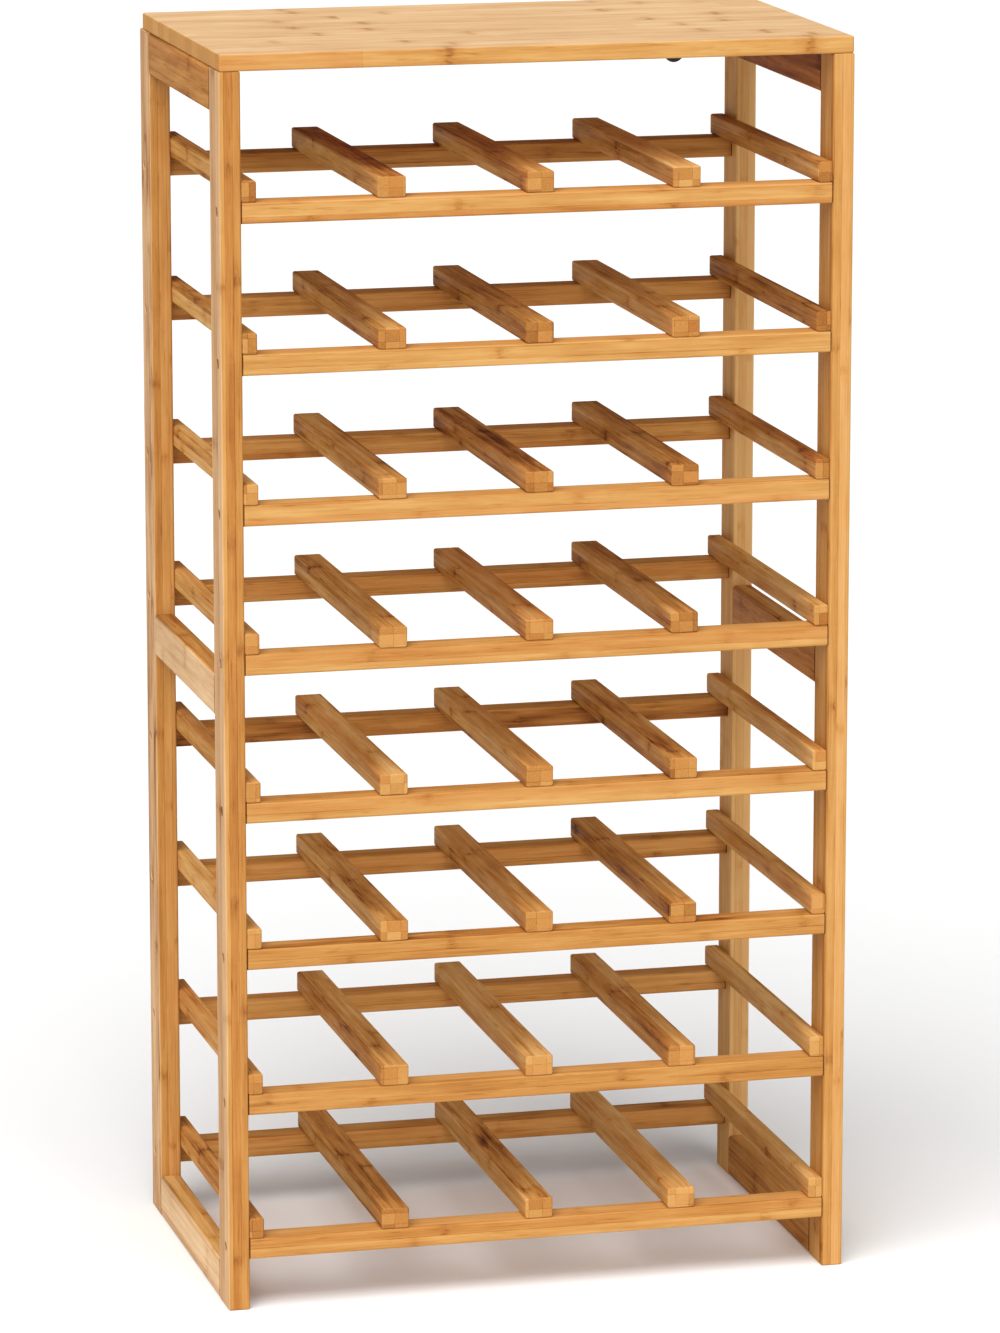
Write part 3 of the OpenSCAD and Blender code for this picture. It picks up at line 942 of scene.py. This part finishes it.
# %% Wall brackets
BRACKET_THICKNESS = 0.0015
BRACKET_BEND = 0.003
BRACKET_CORNER = 0.003
BRACKET_EDGE = 0.0003
ROUND_END_SIDES = 32
BEND_STEPS = 6
WALL_HOLE = 0.00225
BRACKET_SCREW_SHANK = 0.0015
HOLE_PATCH = 1.6
bracket_screws = solid_boxes("bracket_screws")


def edge_at(bm, axis, value):
    """The open edge whose two ends both have this coordinate."""
    return [e for e in bm.edges if e.is_boundary and all(abs(v.co[axis] - value) < MERGE for v in e.verts)]


def draw_out(bm, edges, by):
    grown = bmesh.ops.extrude_edge_only(bm, edges=edges)["geom"]
    bmesh.ops.translate(bm, vec=by, verts=[part for part in grown if isinstance(part, bmesh.types.BMVert)])


for side in SIDES:
    node = f"{side}_wall_bracket"
    low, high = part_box(node)
    half = (high.x - low.x) / 2
    hole = Vector(((low.x + high.x) / 2, high.y, low.z + half))
    bend_y, bend_z = high.y - BRACKET_BEND, high.z - BRACKET_BEND
    bm = bmesh.new()
    bmesh.ops.create_circle(bm, cap_ends=True, segments=ROUND_END_SIDES, radius=half)
    bmesh.ops.rotate(bm, matrix=Matrix.Rotation(math.pi / 2, 3, "X"), verts=bm.verts)
    bmesh.ops.translate(bm, vec=hole, verts=bm.verts)
    bmesh.ops.bisect_plane(bm, geom=bm.verts[:] + bm.edges[:] + bm.faces[:], dist=MERGE,
                           plane_co=hole, plane_no=AXES[2], clear_outer=True)
    chord = edge_at(bm, 2, hole.z)
    draw_out(bm, chord, Vector((0, 0, bend_z - hole.z)))
    bmesh.ops.dissolve_edges(bm, edges=chord)
    top = edge_at(bm, 2, bend_z)
    bmesh.ops.spin(bm, geom=top + list(top[0].verts), cent=(hole.x, bend_y, bend_z), axis=AXES[0],
                   dvec=(0, 0, 0), angle=math.pi / 2, steps=BEND_STEPS, use_duplicate=False)
    draw_out(bm, edge_at(bm, 1, bend_y), Vector((0, low.y - bend_y, 0)))
    bmesh.ops.recalc_face_normals(bm, faces=bm.faces[:])
    discs = [cut_hole(bm, hole, AXES[1], WALL_HOLE, WALL_HOLE * HOLE_PATCH, [])]
    for a, b in bracket_screws:
        spot = Vector(((a.x + b.x) / 2, (a.y + b.y) / 2, high.z))
        if abs(spot.x - hole.x) < half:
            patch = BRACKET_SCREW_SHANK * HOLE_PATCH
            discs.append(cut_hole(bm, spot, AXES[2], BRACKET_SCREW_SHANK, patch, []))
    bmesh.ops.delete(bm, geom=discs, context="FACES_ONLY")
    at_end = [v for v in bm.verts if abs(v.co.y - low.y) < MERGE]
    corners = [v for v in at_end if abs(abs(v.co.x - hole.x) - half) < MERGE]
    bmesh.ops.bevel(bm, geom=corners, offset=BRACKET_CORNER, offset_type="OFFSET", segments=4,
                    profile=0.5, affect="VERTICES", clamp_overlap=True, material=-1)
    bmesh.ops.solidify(bm, geom=bm.faces[:], thickness=BRACKET_THICKNESS)
    bmesh.ops.recalc_face_normals(bm, faces=bm.faces[:])
    soften(bm, [edge for edge in bm.edges if edge.calc_face_angle(0) > 1], BRACKET_EDGE, 2)
    new_piece(f"{node}_looks", [bm], BROWN_PAINT, "bracket_paint", node)
print("brackets", len(SIDES))

# %% [markdown]
# ## Bracket screws
# Two pan-head screws hold each bracket up against the board. Their domed heads are rings like the
# others, with the cross in the flat on top.

# %% Bracket screws
PAN_HEIGHT = 0.002
PAN_FLAT = 0.6
PAN_CROSS_DEPTH = CROSS_DEPTH * 0.8

parts = []
for low, high in bracket_screws:
    head, length = (high.x - low.x) / 2, high.z - low.z
    bm = cross_recess(head * PAN_FLAT, PAN_CROSS_DEPTH)
    turned(bm, [
        (head * 0.86, PAN_HEIGHT * 0.2),
        (head, PAN_HEIGHT * 0.55),
        (head, PAN_HEIGHT),
        (BRACKET_SCREW_SHANK, PAN_HEIGHT),
        (BRACKET_SCREW_SHANK, length - SCREW_POINT),
        (BRACKET_SCREW_SHANK / 8, length),
    ])
    parts.append(look_out(bm, -AXES[2], Vector(((low.x + high.x) / 2, (low.y + high.y) / 2, low.z))))
new_piece("bracket_screws_looks", parts, SCREW_ZINC, "bracket_screw_steel", "bracket_screws")
print("bracket screw", round(length * 1000, 1), "mm long")

# %% [markdown]
# ## Dowels
# The dowels are plain pegs inside the joints. The model's own solids are already right, so they stay,
# and only get their wood.

# %% Dowels
PORES_RUN = {"left_rail_dowels": 1, "right_rail_dowels": 1, "board_dowels": 2}

for node, pores_along in PORES_RUN.items():
    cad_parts[node].material_slots[0].material = dowel_wood(f"{node}_wood", pores_along)
print("dowels", sum(len(solid_boxes(node)) for node in PORES_RUN))
